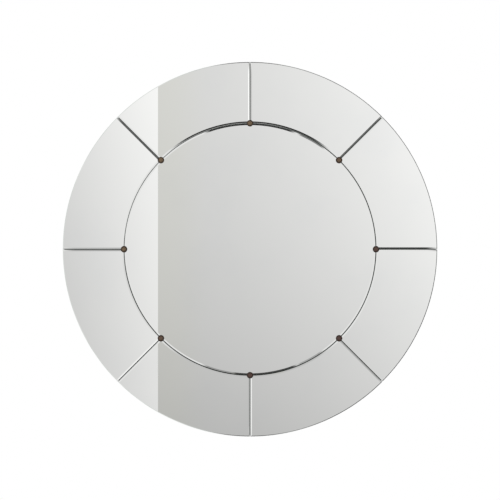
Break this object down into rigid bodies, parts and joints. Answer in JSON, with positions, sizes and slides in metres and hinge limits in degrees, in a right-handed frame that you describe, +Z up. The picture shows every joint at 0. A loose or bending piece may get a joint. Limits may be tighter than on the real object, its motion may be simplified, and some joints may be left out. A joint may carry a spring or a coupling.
{
  "type": "panelled round wall mirror",
  "caption": "Round wall mirror of a bevelled centre pane inside a ring of bevelled panes, with bronze rosettes at the joints, on a black board with keyhole hangers.",
  "frame": {"origin": "midway between the centres of the two keyhole mouths, on the back face of their plates", "axes": "+Z up as hung, +Y into the wall so that the glass faces -Y, +X to the right of someone looking into the mirror"},
  "size_m": [0.9144, 0.0369, 0.9144],
  "materials": {
    "silvered_glass": "polished float glass, silvered at the back",
    "antique_bronze": "dark antique bronze, satin, rubbed lighter on the crown",
    "zinc_steel": "bright zinc plate",
    "black_board": "fibreboard rolled with matt black paint",
    "foam_tape": "closed cell foam tape",
    "plywood": "birch plywood, sanded and left bare",
    "felt": "charcoal pressed felt"
  },
  "bodies": {
    "root": {"centre_mirror": "silvered_glass", "backing_board": "black_board", "centre_tape": "foam_tape", "rim_mirror_1": "silvered_glass", "rim_mirror_2": "silvered_glass", "rim_mirror_3": "silvered_glass", "rim_mirror_4": "silvered_glass", "rim_mirror_5": "silvered_glass", "rim_mirror_6": "silvered_glass", "rim_mirror_7": "silvered_glass", "rim_mirror_8": "silvered_glass", "rim_tape_1": "foam_tape", "rim_tape_2": "foam_tape", "rim_tape_3": "foam_tape", "rim_tape_4": "foam_tape", "rim_tape_5": "foam_tape", "rim_tape_6": "foam_tape", "rim_tape_7": "foam_tape", "rim_tape_8": "foam_tape", "rosette_cap_1": "antique_bronze", "rosette_cap_2": "antique_bronze", "rosette_cap_3": "antique_bronze", "rosette_cap_4": "antique_bronze", "rosette_cap_5": "antique_bronze", "rosette_cap_6": "antique_bronze", "rosette_cap_7": "antique_bronze", "rosette_cap_8": "antique_bronze", "rosette_washer_1": "zinc_steel", "rosette_washer_2": "zinc_steel", "rosette_washer_3": "zinc_steel", "rosette_washer_4": "zinc_steel", "rosette_washer_5": "zinc_steel", "rosette_washer_6": "zinc_steel", "rosette_washer_7": "zinc_steel", "rosette_washer_8": "zinc_steel", "rosette_screw_1": "zinc_steel", "rosette_screw_2": "zinc_steel", "rosette_screw_3": "zinc_steel", "rosette_screw_4": "zinc_steel", "rosette_screw_5": "zinc_steel", "rosette_screw_6": "zinc_steel", "rosette_screw_7": "zinc_steel", "rosette_screw_8": "zinc_steel", "hanger_block_left": "plywood", "spacer_block_left": "plywood", "hanger_plate_left": "zinc_steel", "hanger_screws_left": "zinc_steel", "hanger_block_right": "plywood", "spacer_block_right": "plywood", "hanger_plate_right": "zinc_steel", "hanger_screws_right": "zinc_steel", "block_screws_upper_left": "zinc_steel", "felt_dots_upper_left": "felt", "block_screws_upper_right": "zinc_steel", "felt_dots_upper_right": "felt", "block_screws_lower_left": "zinc_steel", "felt_dots_lower_left": "felt", "block_screws_lower_right": "zinc_steel", "felt_dots_lower_right": "felt"}
  },
  "joints": []
}
